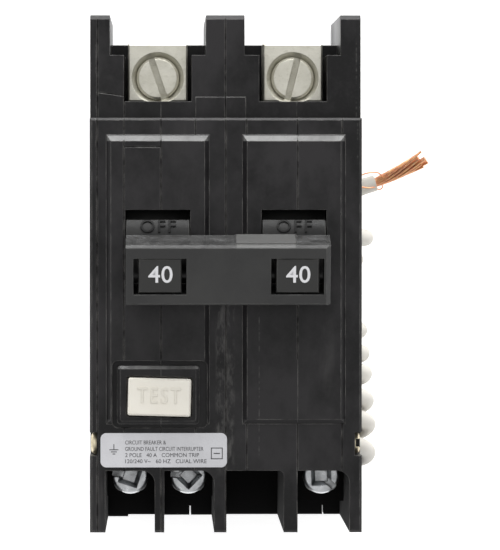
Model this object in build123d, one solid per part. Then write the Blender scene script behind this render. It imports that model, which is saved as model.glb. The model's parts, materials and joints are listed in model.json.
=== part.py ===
from build123d import *
import os
from math import cos, radians, sin

# Two-pole ground-fault circuit breaker, cable-in / cable-out, lying on its back.
# Millimetres. X runs across the poles, Y points to the line end, Z points to the front.
# The origin is on the back face, under the middle of the case.

# --- case envelope -----------------------------------------------------------------------
CASE_HALF_WIDTH = 25.4
LOAD_END = -48.4
LINE_END = 48.4
FRONT_Z = 58.8
PANEL_Z = 59.8
LINE_FRONT_Z = 52.5
LINE_STEP_Y = 29.0
LINE_BODY_END = 40.9
BASE_END = 43.3
BACK_WALL = 2.0
FRONT_WALL = 2.0
SHELL_SPLITS = (-25.4, -24.0, -12.1, 0.0, 13.4, 25.4)
SHELL_NAMES = ("side_cover_left", "pole_1_left_shell", "pole_1_right_shell", "pole_2_left_shell",
               "pole_2_right_shell")
SEAM_XS = (-24.0, -19.0, -12.1, -5.7, 0.0, 3.9, 13.4, 21.7)
SEAM_WIDTH = 0.18
SEAM_DEPTH = 0.2
EDGE = 0.4

# --- poles -------------------------------------------------------------------------------
POLE_XS = (-12.7, 12.7)
CAVITY_XS = ((-22.6, -1.4), (1.4, 24.0))
CAVITY_LOAD_Y = -30.3
CAVITY_LINE_Y = 27.4
PANEL_HALF_WIDTH = 9.6
PANEL_LOAD_Y = -28.1
PANEL_LINE_Y = 25.9
PANEL_BEVEL = 0.85
PANEL_LINE_BEVEL = 1.25

# --- through rivets, as (y, z) -----------------------------------------------------------
RIVETS = ((-31.85, 54.5), (24.2, 53.0), (37.0, 8.0), (-32.4, 25.6))
RIVET_RADIUS = 1.2
RIVET_HEAD_RADIUS = 2.1
RIVET_SEAT_X = 24.1

# --- line terminals ----------------------------------------------------------------------
LUG_FLOOR_Z = 34.0
LUG_WINDOW = (6.35, 32.2)
STRAP_THICK = 1.6
STRAP_HALF_WIDTH = 4.0
LUG_HALF_WIDTH = 5.6
LUG_YS = (32.2, 43.1)
LUG_TOP_Z = 49.5
LUG_SCREW_Y = 36.6
LUG_SCREW_RADIUS = 4.0
LUG_RING_RADIUS = 4.95
WIRE_BORE_RADIUS = 3.75
WIRE_BORE_Z = 40.4
LINE_SLOT_ANGLES = (-71.3, 76.4)
TAB_XS = ((-25.4, -21.7), (-3.65, 3.6), (21.6, 25.4))

# --- load terminals ----------------------------------------------------------------------
FRONT_LOAD_Y = -36.85
POCKET_INNER_Y = -34.5
# Each pocket as (low x, high x, corner radius, floor z).
POCKETS = ((-22.5, -13.3, 2.4, 13.0), (-11.5, -2.2, 2.4, 8.5), (0.1, 10.8, 1.0, 7.0),
           (13.4, 23.1, 2.4, 7.0))
LOAD_XS = (-18.0, -6.9, 18.45)
LOAD_SCREW_Y = -38.9
LOAD_STRAP_Z = 28.4
LOAD_STRAP_HALF_WIDTH = 2.6
LOAD_STRAP_EYE_RADIUS = 2.95
LOAD_HEAD_RADIUS = 3.45
LOAD_HEAD_ZS = (36.3, 38.9)
LOAD_SHANK_RADIUS = 2.0
LOAD_DRIVE_ANGLES = (72.0, 46.0, 2.0)
LOAD_SLOT_ANGLES = (172.0, 176.0, -42.0)

# --- handle ------------------------------------------------------------------------------
PIVOT_Y = 4.8
PIVOT_Z = 50.8
BARREL_RADIUS = 10.0
BARREL_HALF_WIDTH = 5.87
SLOT_HALF_WIDTH = 6.05
SLOT_HALF_LENGTH = 7.05
HANDLE_REST_TILT = 15.0
HANDLE_THROW = 30.0
BARREL_SECTOR = 46.3
APRON_SECTOR = 76.0
APRON_RADIUS = 8.9
LEVER_OFFSET = 0.4
LEVER_HALF_WIDTH = 4.0
LEVER_TIP = 19.7
ARM_PIVOT_RADIUS = 10.0
TIE_XS = (-18.6, 19.2)
TIE_REACH = (12.2, 19.9)

# --- contact arm -------------------------------------------------------------------------
ARM_REST_ANGLE = 12.0
ARM_CLOSED_ANGLE = 55.0
ARM_LENGTH = 16.2
PAD_AT = 13.4

# --- trip mechanism ----------------------------------------------------------------------
TRIP_BAR_Y = -8.0
TRIP_BAR_Z = 46.5
ARMATURE_PIVOT = (-10.9, 27.0)
CRADLE_PIVOT = (19.5, 45.0)
PLUNGER_X = -18.0
PLUNGER_Z = 40.0

# --- test button -------------------------------------------------------------------------
TEST_X = -12.4
TEST_Y = -23.0
TEST_SIZE = (11.7, 7.0)
TEST_TURN = -1.5

# --- neutral pigtail ---------------------------------------------------------------------
RECESS = (13.6, -39.4, 22.0, 16.8)
WIRE_RADIUS = 1.63
COIL_X = 22.2
COIL_Z = 8.15
COIL_RADIUS = 8.1
COIL_YS = (-38.6, 7.6)
EXIT_X = 15.9
EXIT_Z = 8.15
TAIL_POINTS = ((18.6, 7.6, 4.2), (23.4, 15.2, 3.0), (29.9, 16.9, 2.6))
STRAND_POINTS = ((29.9, 16.9, 2.6), (34.9, 18.9, 2.8), (40.1, 22.0, 3.8))
LEAD_RADIUS = 1.1


# --- shape helpers -----------------------------------------------------------------------
def block(x0, x1, y0, y1, z0, z1):
    """A box between two corners."""
    return Pos((x0 + x1) / 2, (y0 + y1) / 2, (z0 + z1) / 2) * Box(x1 - x0, y1 - y0, z1 - z0)


def rod_x(y, z, radius, x0, x1):
    """A round bar along X."""
    return Pos((x0 + x1) / 2, y, z) * Rot(0, 90, 0) * Cylinder(radius, x1 - x0)


def rod_y(x, z, radius, y0, y1):
    """A round bar along Y."""
    return Pos(x, (y0 + y1) / 2, z) * Rot(90, 0, 0) * Cylinder(radius, y1 - y0)


def rod_z(x, y, radius, z0, z1):
    """A round bar along Z."""
    return Pos(x, y, (z0 + z1) / 2) * Cylinder(radius, z1 - z0)


def side_plate(points, x0, x1):
    """A plate cut to an outline of (y, z) points, from x0 to x1."""
    outline = make_face(Polyline(*points, close=True))
    return Plane.YZ.offset(x0) * extrude(outline, x1 - x0)


def rounded_pad(x0, x1, y0, y1, z0, z1, corner):
    """A flat pad with round corners seen from the front."""
    face = RectangleRounded(x1 - x0, y1 - y0, corner)
    return Pos((x0 + x1) / 2, (y0 + y1) / 2, z0) * extrude(face, z1 - z0)


def wire(points, radii, radius):
    """A round conductor along straight runs joined by tangent arcs."""
    path = FilletPolyline(*points, radius=radii)
    section = Plane(origin=path @ 0, z_dir=path % 0) * Circle(radius)
    return sweep(section, path=path)


def spring_body(radius, wire_radius, turns):
    """A close-wound spring along Z from z = 0: a ribbed tube, one rib for each turn."""
    inner = radius - 2 * wire_radius
    ribs = []
    for turn in range(turns):
        low = 2 * wire_radius * turn
        ribs.append(ThreePointArc((radius - wire_radius, low), (radius, low + wire_radius),
                                  (radius - wire_radius, low + 2 * wire_radius)))
    top = 2 * wire_radius * turns
    side = Polyline((radius - wire_radius, top), (inner, top), (inner, 0), (radius - wire_radius, 0))
    return revolve(Plane.XZ * make_face([*ribs, side]), Axis.Z)


def merged(shapes):
    """One shape from several."""
    whole = shapes[0]
    for shape in shapes[1:]:
        whole = whole + shape
    return whole


# --- case --------------------------------------------------------------------------------
def case_outside():
    main = block(-CASE_HALF_WIDTH, CASE_HALF_WIDTH, LOAD_END, LINE_STEP_Y, 0, FRONT_Z)
    main = chamfer(main.edges().group_by(Axis.Z)[-1], EDGE)
    line = block(-CASE_HALF_WIDTH, CASE_HALF_WIDTH, LINE_STEP_Y - 1, LINE_BODY_END, 0, LINE_FRONT_Z)
    base = block(-CASE_HALF_WIDTH, CASE_HALF_WIDTH, LINE_BODY_END, BASE_END, 0, LUG_FLOOR_Z)
    body = main + line + base
    for x0, x1 in TAB_XS:
        tab = block(x0, x1, LINE_BODY_END - 2, LINE_END, 0, LINE_FRONT_Z)
        tip = tab.edges().filter_by(Axis.X).group_by(Axis.Y)[-1].sort_by(Axis.Z)[-1]
        body = body + chamfer(tip, 2 * EDGE)
    body = body + block(-5.6, 3.8, LINE_STEP_Y - 1, 33.0, LINE_FRONT_Z - 1, LINE_FRONT_Z + 0.25)
    for x in POLE_XS:
        body = body + raised_panel(x)
    return body


def raised_panel(x):
    """The bevelled panel in front of one pole."""
    low_y = (PANEL_LOAD_Y, PANEL_LINE_Y)
    top_y = (PANEL_LOAD_Y + PANEL_BEVEL, PANEL_LINE_Y - PANEL_LINE_BEVEL)
    low = Rectangle(2 * PANEL_HALF_WIDTH, low_y[1] - low_y[0])
    top = Rectangle(2 * (PANEL_HALF_WIDTH - PANEL_BEVEL), top_y[1] - top_y[0])
    low_at = Pos(x, sum(low_y) / 2, FRONT_Z)
    top_at = Pos(x, sum(top_y) / 2, PANEL_Z)
    return loft([low_at * low, top_at * top], ruled=True)


def load_pockets():
    """The wire pockets at the load end, open to the front and to the end."""
    cuts = []
    deep = LOAD_END - 1
    for x0, x1, corner, floor_z in POCKETS:
        mouth = block(x0, x1, deep, FRONT_LOAD_Y, floor_z, FRONT_Z + 1)
        corner_edge = mouth.edges().filter_by(Axis.Z).group_by(Axis.Y)[-1].sort_by(Axis.X)[-1]
        cuts.append(fillet(corner_edge, corner))
    for x0, x1, corner, floor_z in POCKETS[:2] + POCKETS[3:]:
        cuts.append(block(x0, x1, FRONT_LOAD_Y - 3, POCKET_INNER_Y, floor_z, FRONT_Z - FRONT_WALL))
    for x, floor_z in ((19.8, 7.0), (-6.4, 8.5)):
        cuts.append(block(x - 0.15, x + 0.15, deep, -46.6, -1, floor_z + 1))
    cuts.append(block(-18.6, -13.3, deep, LOAD_END + 0.4, -1, 14.0))
    return merged(cuts)


def load_ledges():
    """Moulded seats under the load straps; the right one also roofs the pigtail recess."""
    seats = []
    for x0, x1, _, _ in POCKETS[:2]:
        seats.append(block(x0 - 0.5, x1 + 0.5, -43.4, POCKET_INNER_Y + 1, 20.0, LOAD_STRAP_Z))
    right = POCKETS[3]
    seats.append(block(right[0] - 0.5, right[1] + 0.5, -44.4, POCKET_INNER_Y + 1, 0, LOAD_STRAP_Z))
    return merged(seats)


def pole_cavities():
    cuts = []
    for x0, x1 in CAVITY_XS:
        cuts.append(block(x0, x1, CAVITY_LOAD_Y, CAVITY_LINE_Y, BACK_WALL, FRONT_Z - FRONT_WALL))
        cuts.append(block(x0, x1, CAVITY_LINE_Y, 41.7, BACK_WALL, LUG_FLOOR_Z - 1.6))
    sensor_window = block(-2, 2, -30.0, -9.6, 3.2, 24.4) + block(-2, 2, -30.0, -12.76, 24.0, 27.2)
    recess_guard = block(RECESS[0] - 1.6, 26, RECESS[1] - 1.6, RECESS[2] + 1.8, -1, RECESS[3] + 1.8)
    return merged(cuts) + sensor_window - recess_guard


def front_openings():
    """Handle slots with their round undercut, lug windows, and the test button's hole."""
    cuts = []
    for x in POLE_XS:
        cuts.append(block(x - SLOT_HALF_WIDTH, x + SLOT_HALF_WIDTH, PIVOT_Y - SLOT_HALF_LENGTH,
                          PIVOT_Y + SLOT_HALF_LENGTH, FRONT_Z - 4, PANEL_Z + 1))
        cuts.append(rod_x(PIVOT_Y, PIVOT_Z, BARREL_RADIUS + 0.4, x - SLOT_HALF_WIDTH,
                          x + SLOT_HALF_WIDTH))
        cuts.append(block(x - LUG_WINDOW[0], x + LUG_WINDOW[0], LUG_WINDOW[1], LINE_END + 1,
                          LUG_FLOOR_Z, LINE_FRONT_Z + 1))
        cuts.append(block(x - STRAP_HALF_WIDTH, x + STRAP_HALF_WIDTH, CAVITY_LINE_Y - 1,
                          LUG_WINDOW[1] + 1, LUG_FLOOR_Z, LUG_FLOOR_Z + STRAP_THICK))
    return merged(cuts)


def test_bezel(body):
    """The groove round the test platform, the platform and the button's hole."""
    groove = rounded_pad(-21.2, -3.5, -28.8, -16.3, FRONT_Z - 0.5, PANEL_Z + 1, 1.0)
    shoulder = PANEL_Z - 0.1
    platform = rounded_pad(-20.3, -5.0, -28.1, -17.2, FRONT_Z - 0.6, shoulder, 0.7)
    low = Pos(-12.65, -22.65, shoulder) * RectangleRounded(15.3, 10.9, 0.7)
    top = Pos(-12.65, -22.65, PANEL_Z + 0.35) * RectangleRounded(14.1, 9.7, 0.4)
    platform = platform + loft([low, top], ruled=True)
    hole = rounded_pad(-0.3 - TEST_SIZE[0] / 2, TEST_SIZE[0] / 2 + 0.3, -0.3 - TEST_SIZE[1] / 2,
                       TEST_SIZE[1] / 2 + 0.3, FRONT_Z - 4, PANEL_Z + 2, 0.6)
    return body - groove + platform - Pos(TEST_X, TEST_Y, 0) * Rot(0, 0, TEST_TURN) * hole


def bosses():
    """Moulded bearings inside the case for the pins and shafts."""
    parts = []
    for x, (x0, x1) in zip(POLE_XS, CAVITY_XS):
        for inner, outer in ((x - 6.1, x0 - 0.5), (x + 6.1, x1 + 0.5)):
            low = min(inner, outer)
            high = max(inner, outer)
            parts.append(rod_x(PIVOT_Y, PIVOT_Z, 3.2, low, high))
        for inner, outer in ((x - 6.6, x0 - 0.5), (x + 6.6, x1 + 0.5)):
            low = min(inner, outer)
            high = max(inner, outer)
            parts.append(rod_x(*ARMATURE_PIVOT, 1.8, low, high))
        parts.append(rod_x(*CRADLE_PIVOT, 2.8, x + 6.2, x1 + 0.5))
        for inner, outer in ((x - 4.8, x0 - 0.5), (x + 4.8, x1 + 0.5)):
            parts.append(block(min(inner, outer), max(inner, outer), -19.0, -17.4, 28.2, 30.4))
        parts.append(block(x0 - 0.5, x1 + 0.5, -8.6, 28.0, 17.0, 18.6))
    parts.append(rod_x(TRIP_BAR_Y, TRIP_BAR_Z, 2.8, -23.0, -21.0))
    parts.append(rod_x(TRIP_BAR_Y, TRIP_BAR_Z, 2.8, 21.0, 24.4))
    parts.append(block(-4.0, 4.0, -20.0, -17.0, 1.5, 3.8))
    return merged(parts)


def bearing_holes():
    cuts = []
    for x in POLE_XS:
        cuts.append(rod_x(PIVOT_Y, PIVOT_Z, 1.5, x - 9.5, x + 9.5))
        cuts.append(rod_x(*ARMATURE_PIVOT, 1.05, x - 8.8, x + 8.8))
        cuts.append(rod_x(*CRADLE_PIVOT, 1.25, x + 5.0, x + 9.4))
    cuts.append(rod_x(TRIP_BAR_Y, TRIP_BAR_Z, 1.65, -22.6, 23.2))
    for y, z in RIVETS:
        cuts.append(rod_x(y, z, RIVET_RADIUS, -26, 26))
        cuts.append(rod_x(y, z, RIVET_HEAD_RADIUS + 0.02, -26, -RIVET_SEAT_X))
        cuts.append(rod_x(y, z, RIVET_HEAD_RADIUS + 0.02, RIVET_SEAT_X, 26))
    return merged(cuts)


def pigtail_space():
    """The open rear corner that the coiled pigtail lies in, and the duct to its bushing."""
    x0, y0, y1, z1 = RECESS
    recess = block(x0, 26, y0, y1, -1, z1)
    duct = block(EXIT_X - 1.5, EXIT_X + 1.5, -43.3, CAVITY_LOAD_Y + 1, 20.0, 23.2)
    drop = block(EXIT_X - 1.5, EXIT_X + 1.5, -43.3, -40.5, EXIT_Z - 1.5, 23.2)
    gland = rod_y(EXIT_X, EXIT_Z, 2.2, -41.0, y0 + 1)
    return recess + duct + drop + gland


def terminal_cuts():
    """Slots for the load straps through the inner wall, and pilot holes under the screws."""
    cuts = []
    for x in LOAD_XS:
        cuts.append(block(x - LOAD_STRAP_HALF_WIDTH, x + LOAD_STRAP_HALF_WIDTH, POCKET_INNER_Y - 0.5,
                          CAVITY_LOAD_Y + 1, LOAD_STRAP_Z, LOAD_STRAP_Z + STRAP_THICK))
        cuts.append(rod_z(x, LOAD_SCREW_Y, LOAD_SHANK_RADIUS + 0.4, 25.2, LOAD_STRAP_Z + 1))
    return merged(cuts)


def surface_lines():
    """Fine parting lines on the front, and the notches over the side rivets."""
    cuts = []
    for x in SEAM_XS:
        high = LINE_END + 1 if x in (-24.0, 0.0) else LINE_STEP_Y
        cuts.append(block(x - SEAM_WIDTH / 2, x + SEAM_WIDTH / 2, LOAD_END - 1, LINE_STEP_Y,
                          FRONT_Z - SEAM_DEPTH, FRONT_Z + 0.01))
        if high > LINE_STEP_Y:
            cuts.append(block(x - SEAM_WIDTH / 2, x + SEAM_WIDTH / 2, LINE_STEP_Y, high,
                              LINE_FRONT_Z - SEAM_DEPTH, LINE_FRONT_Z + 1))
    for x in (-19.0, -12.1, 13.4, 21.7):
        cuts.append(block(x - SEAM_WIDTH / 2, x + SEAM_WIDTH / 2, -16.0, LINE_STEP_Y,
                          PANEL_Z - SEAM_DEPTH, PANEL_Z + 1))
    cuts.append(block(-19.0, -12.1, 23.5, 23.5 + SEAM_WIDTH, PANEL_Z - SEAM_DEPTH, PANEL_Z + 1))
    step_z = LINE_FRONT_Z - SEAM_DEPTH
    cuts.append(block(-19.1, -19.1 + SEAM_WIDTH, LINE_STEP_Y, 33.2, step_z, LINE_FRONT_Z + 1))
    crease = block(-2.6, 2.6, -SEAM_WIDTH / 2, SEAM_WIDTH / 2, step_z, LINE_FRONT_Z + 1)
    cuts.append(Pos(-21.6, 33.6, 0) * Rot(0, 0, -8) * crease)
    for x0, x1 in ((-26, -RIVET_SEAT_X), (RIVET_SEAT_X, 26)):
        cuts.append(block(x0, x1, -34.0, -29.7, 49.5, FRONT_Z + 1))
    return merged(cuts)


def case_shells():
    body = case_outside() - load_pockets() + load_ledges()
    body = body - pole_cavities() + bosses()
    body = body - front_openings() - bearing_holes() - pigtail_space() - terminal_cuts()
    body = test_bezel(body) - surface_lines()
    shells = {}
    for name, x0, x1 in zip(SHELL_NAMES, SHELL_SPLITS, SHELL_SPLITS[1:]):
        shells[name] = body & block(x0, x1, LOAD_END - 1, LINE_END + 1, -1, PANEL_Z + 2)
    return shells


def rivets():
    """Four tubular rivets through the case: a domed head on the left, a rolled end on the right."""
    pins = []
    for y, z in RIVETS:
        head = rod_x(y, z, RIVET_HEAD_RADIUS, -25.2, -RIVET_SEAT_X)
        head = fillet(head.edges().sort_by(Axis.X)[0], 0.9)
        rolled = rod_x(y, z, 1.9, RIVET_SEAT_X, 25.1)
        rolled = fillet(rolled.edges().sort_by(Axis.X)[-1], 0.5)
        petal_gap = block(RIVET_SEAT_X + 0.25, 26, y - 0.8, y + 0.8, z - 3, z + 3)
        pin = head + rod_x(y, z, RIVET_RADIUS, -RIVET_SEAT_X, RIVET_SEAT_X) + rolled - petal_gap
        pins.append(pin - rod_x(y, z, 0.8, 22.0, 26.0))
    return pins


def rating_label():
    return rounded_pad(-23.4, 0.2, -36.2, -29.8, FRONT_Z, FRONT_Z + 0.15, 1.1)


# --- handle ------------------------------------------------------------------------------
def at_rest_tilt(x, shape):
    """Moves a handle piece built upright at the origin to its OFF position in a pole."""
    return Pos(x, PIVOT_Y, PIVOT_Z) * Rot(HANDLE_REST_TILT, 0, 0) * shape


def sector(low, high):
    """A wedge of the handle's barrel between two angles from the lever, in degrees."""
    reach = 30.0
    corners = [(reach * sin(radians(a)), reach * cos(radians(a))) for a in (low, (low + high) / 2, high)]
    return side_plate(((0, 0), *corners), -7, 7)


def handle(x):
    """A rocker: barrel with a lower apron behind it, lever, hub and the fork for the contact arm."""
    barrel = rod_x(0, 0, BARREL_RADIUS, -BARREL_HALF_WIDTH, BARREL_HALF_WIDTH)
    barrel = (barrel - rod_x(0, 0, BARREL_RADIUS - 2.2, -7, 7)) & sector(-BARREL_SECTOR, BARREL_SECTOR)
    apron = rod_x(0, 0, APRON_RADIUS, -BARREL_HALF_WIDTH, BARREL_HALF_WIDTH)
    apron = (apron - rod_x(0, 0, APRON_RADIUS - 1.1, -7, 7)) & sector(BARREL_SECTOR - 3, APRON_SECTOR)
    low = LEVER_OFFSET - LEVER_HALF_WIDTH
    high = LEVER_OFFSET + LEVER_HALF_WIDTH
    lever = block(low, high, -3.3, 3.36, 0, LEVER_TIP)
    hub = rod_x(0, 0, 3.2, -5.5, 5.5)
    body = barrel + apron + lever + hub
    for side in (-1, 1):
        leg = block(2.6, 4.2, -2.2, 2.2, -ARM_PIVOT_RADIUS, 0) + rod_x(0, -ARM_PIVOT_RADIUS, 2.2, 2.6, 4.2)
        body = body + (leg if side > 0 else mirror(leg, Plane.YZ))
    body = body - rod_x(0, 0, 1.55, -6, 6) - rod_x(0, -ARM_PIVOT_RADIUS, 1.05, -6, 6)
    tip_edges = body.edges().group_by(Axis.Z)[-1]
    body = chamfer(tip_edges, 0.25)
    return at_rest_tilt(x, body)


def tie_bar():
    low, high = TIE_REACH
    outline = ((-5.6, low), (5.75, low), (5.75, high - 0.45), (5.3, high), (-5.3, high), (-5.6, high - 0.3))
    bar = side_plate(outline, *TIE_XS)
    end = bar.faces().sort_by(Axis.X)[-1].edges().sort_by(Axis.Z)[-1]
    bar = chamfer(end, 0.8)
    bar = bar + block(1.7, 13.0, 5.5, 6.0, low + 0.3, high - 1.3)
    for x in POLE_XS:
        window = block(x + LEVER_OFFSET - 4.9, x + LEVER_OFFSET + 4.9, -3.57, 3.36, low - 1, high + 1)
        bar = bar - window
    return Pos(0, PIVOT_Y, PIVOT_Z) * Rot(HANDLE_REST_TILT, 0, 0) * bar


def handle_pins():
    return [rod_x(PIVOT_Y, PIVOT_Z, 1.5, x - 9.5, x + 9.5) for x in POLE_XS]


# --- contacts ----------------------------------------------------------------------------
def arm_pivot(throw):
    """Where the contact arm hangs in the handle's fork, as (y, z), after a throw in degrees."""
    angle = radians(HANDLE_REST_TILT - throw)
    return PIVOT_Y + ARM_PIVOT_RADIUS * sin(angle), PIVOT_Z - ARM_PIVOT_RADIUS * cos(angle)


def at_arm(x, throw, angle, shape):
    """Places a piece built round the arm's pivot, with the arm hanging down."""
    y, z = arm_pivot(throw)
    return Pos(x, y, z) * Rot(angle, 0, 0) * shape


def contact_arm(x):
    bar = block(-2.5, 2.5, -0.7, 0.7, -ARM_LENGTH, -3.0)
    neck = block(-1.6, 1.6, -0.7, 0.7, -4.0, 0)
    eye = rod_x(0, 0, 1.9, -2.2, 2.2) + rod_x(0, 0, 1.0, -4.2, 4.2)
    return at_arm(x, 0, ARM_REST_ANGLE, bar + neck + eye)


def moving_contact(x):
    pad = rod_y(0, -PAD_AT, 2.4, 0.7, 1.9)
    return at_arm(x, 0, ARM_REST_ANGLE, pad)


def line_strap(x):
    """The copper bar from under the lug to the fixed contact."""
    flat = block(x - STRAP_HALF_WIDTH, x + STRAP_HALF_WIDTH, 18.4, LUG_YS[1], LUG_FLOOR_Z,
                 LUG_FLOOR_Z + STRAP_THICK)
    bent = block(-STRAP_HALF_WIDTH, STRAP_HALF_WIDTH, 3.2, 4.8, -17.2, -10.4)
    return flat + at_arm(x, HANDLE_THROW, ARM_CLOSED_ANGLE, bent)


def fixed_contact(x):
    pad = rod_y(0, -PAD_AT, 2.4, 2.0, 3.2)
    return at_arm(x, HANDLE_THROW, ARM_CLOSED_ANGLE, pad)


def arc_chute(x):
    """Six notched steel plates between two fibre side walls."""
    pieces = []
    for level in range(6):
        z = 19.6 + 1.9 * level
        plate = block(x - 5.0, x + 5.0, 17.6, 26.9, z, z + 1.0)
        notch = block(x - 1.6, x + 1.6, 17.0, 21.5, z - 1, z + 2)
        pieces.append(plate - notch)
    for low in (x - 5.7, x + 5.0):
        pieces.append(block(low, low + 0.7, 17.6, 26.9, 18.6, 31.2))
    return pieces


# --- line and load terminals -------------------------------------------------------------
def line_lug(x):
    low_y, high_y = LUG_YS
    body = block(x - LUG_HALF_WIDTH, x + LUG_HALF_WIDTH, low_y, high_y, LUG_FLOOR_Z + STRAP_THICK, LUG_TOP_Z)
    body = chamfer(body.edges().group_by(Axis.Z)[-1], 0.3)
    sink = Pos(x, LUG_SCREW_Y, LUG_TOP_Z - 0.6) * Cone(LUG_SCREW_RADIUS + 0.05, LUG_RING_RADIUS, 1.2)
    body = body - rod_z(x, LUG_SCREW_Y, LUG_SCREW_RADIUS + 0.05, WIRE_BORE_Z + 3.2, LUG_TOP_Z + 1) - sink
    return body - rod_y(x, WIRE_BORE_Z, WIRE_BORE_RADIUS, low_y - 1, high_y + 1)


def line_screw(x, angle):
    top = LUG_TOP_Z - 0.25
    screw = rod_z(0, 0, LUG_SCREW_RADIUS, WIRE_BORE_Z + WIRE_BORE_RADIUS + 0.3, top)
    screw = chamfer(screw.edges().sort_by(Axis.Z)[-1], 0.45)
    slot = block(-5, 5, -0.6, 0.6, top - 1.6, top + 1)
    return Pos(x, LUG_SCREW_Y, 0) * Rot(0, 0, angle) * (screw - slot)


def load_strap(x):
    low = LOAD_STRAP_Z
    bar = block(x - LOAD_STRAP_HALF_WIDTH, x + LOAD_STRAP_HALF_WIDTH, LOAD_SCREW_Y, -27.0, low,
                low + STRAP_THICK)
    bar = bar + rod_z(x, LOAD_SCREW_Y, LOAD_STRAP_EYE_RADIUS, low, low + STRAP_THICK)
    return bar - rod_z(x, LOAD_SCREW_Y, LOAD_SHANK_RADIUS + 0.05, low - 1, low + 3)


def wire_clamp(x):
    plate = rounded_pad(x - 3.1, x + 3.1, LOAD_SCREW_Y - 3.1, LOAD_SCREW_Y + 3.1, LOAD_HEAD_ZS[0] - 1.5,
                        LOAD_HEAD_ZS[0] - 0.1, 1.6)
    lip = block(x - 1.4, x + 1.4, LOAD_SCREW_Y - 3.0, LOAD_SCREW_Y - 2.4, LOAD_HEAD_ZS[0] - 2.4,
                LOAD_HEAD_ZS[0] - 1.5)
    return plate + lip - rod_z(x, LOAD_SCREW_Y, LOAD_SHANK_RADIUS + 0.3, 30, 38)


def load_screw(x, drive_angle, slot_angle):
    low, high = LOAD_HEAD_ZS
    head = rod_z(0, 0, LOAD_HEAD_RADIUS, low, high)
    head = fillet(head.edges().sort_by(Axis.Z)[-1], 0.5)
    sides = ((high - 1.5, 2.3), (high + 0.5, 4.3))
    square = loft([Pos(0, 0, z) * Rectangle(side, side) for z, side in sides], ruled=True)
    square = Rot(0, 0, drive_angle) * square
    slot = Rot(0, 0, slot_angle) * block(0, 5, -0.6, 0.6, high - 1.3, high + 1)
    shank = rod_z(0, 0, LOAD_SHANK_RADIUS, 26.0, low)
    return Pos(x, LOAD_SCREW_Y, 0) * (head - square - slot + shank)


# --- trip mechanism ----------------------------------------------------------------------
def cradle(x):
    outline = ((21.6, 46.6), (17.6, 47.0), (2.0, 43.6), (-10.65, 42.2), (-10.65, 40.0), (-6.0, 39.8),
               (2.0, 39.4), (16.6, 42.6), (21.6, 43.0))
    plate = side_plate(outline, x + 4.6, x + 5.8)
    pin = rod_x(*CRADLE_PIVOT, 1.2, x + 5.0, x + 9.2)
    hook = block(x - 2.0, x + 5.0, -6.4, -5.0, 34.6, 38.4) + block(x + 4.6, x + 5.8, -6.4, -5.0, 34.6, 40.5)
    return plate + pin + hook


def toggle_spring(x):
    return Pos(x, -5.0, 36.5) * Rot(-90, 0, 0) * spring_body(1.9, 0.36, 12)


def bimetal(x):
    return block(x - 3, x + 3, -16.0, -15.1, 24.0, 42.0) + block(x - 3, x + 3, -17.4, -16.0, 24.0, 25.0)


def magnet(x):
    body = block(x - 4.8, x + 4.8, -19.0, -17.4, 24.0, 37.0)
    for low in (x - 4.8, x + 3.4):
        body = body + block(low, low + 1.4, -17.4, -13.5, 28.0, 37.0)
    return body


def armature(x):
    low_y, high_y = ARMATURE_PIVOT[0] - 0.6, ARMATURE_PIVOT[0] + 0.6
    plate = block(x - 4.8, x + 4.8, low_y, high_y, ARMATURE_PIVOT[1], 38.0)
    tongue = block(x - 3.0, x + 3.0, low_y, high_y, 37.0, 43.0)
    sear = block(x + 3.0, x + 6.3, low_y, high_y, 36.0, 39.5)
    pivot = rod_x(*ARMATURE_PIVOT, 1.0, x - 8.6, x + 8.6)
    return plate + tongue + sear + pivot


def trip_bar():
    shaft = rod_x(TRIP_BAR_Y, TRIP_BAR_Z, 1.6, -22.4, 23.0)
    for x in POLE_XS:
        shaft = shaft + block(x - 1.5, x + 1.5, -9.8, -8.0, 37.6, TRIP_BAR_Z)
    for low in (PLUNGER_X - 2.3, PLUNGER_X + 1.2):
        shaft = shaft + block(low, low + 1.1, TRIP_BAR_Y - 0.7, TRIP_BAR_Y + 0.7, 37.6, TRIP_BAR_Z)
    return shaft


def trip_coil():
    """The ground-fault solenoid: a wound bobbin between two flanges."""
    bobbin = rod_y(PLUNGER_X, PLUNGER_Z, 2.3, -29.8, -20.4)
    winding = rod_y(PLUNGER_X, PLUNGER_Z, 4.0, -28.6, -21.6)
    ends = block(PLUNGER_X - 4.2, PLUNGER_X + 4.2, -29.8, -28.6, PLUNGER_Z - 4.4, PLUNGER_Z + 4.4)
    ends = ends + block(PLUNGER_X - 4.2, PLUNGER_X + 4.2, -21.6, -20.4, PLUNGER_Z - 4.4, PLUNGER_Z + 4.4)
    return bobbin + winding + ends - rod_y(PLUNGER_X, PLUNGER_Z, 1.55, -30.5, -19)


def trip_plunger():
    core = rod_y(PLUNGER_X, PLUNGER_Z, 1.5, -27.5, -19.4)
    rod = rod_y(PLUNGER_X, PLUNGER_Z, 0.9, -19.4, -4.9)
    return core + rod + rod_y(PLUNGER_X, PLUNGER_Z, 1.7, -5.0, -3.9)


# --- ground-fault electronics ------------------------------------------------------------
def circuit_board():
    return block(-4.0, -2.6, -29.6, -13.0, 31.0, 54.0)


def board_components():
    chip = block(-5.6, -4.0, -22.5, -16.5, 33.0, 37.5)
    disc = Pos(-5.2, -25.6, 35.6) * Rot(0, 90, 0) * Cylinder(3.0, 2.4)
    can = Pos(-6.0, -26.3, 42.2) * Rot(0, 90, 0) * Cylinder(2.2, 4.0)
    parts = [chip, disc, can]
    for step in range(4):
        parts.append(rod_z(-4.8, -22.6 + 2.4 * step, 0.8, 39.2, 44.4))
    return parts


def sensing_core():
    return rod_y(0, 14.0, 8.6, -22.9, -15.9) - rod_y(0, 14.0, 5.6, -24, -15)


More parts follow.
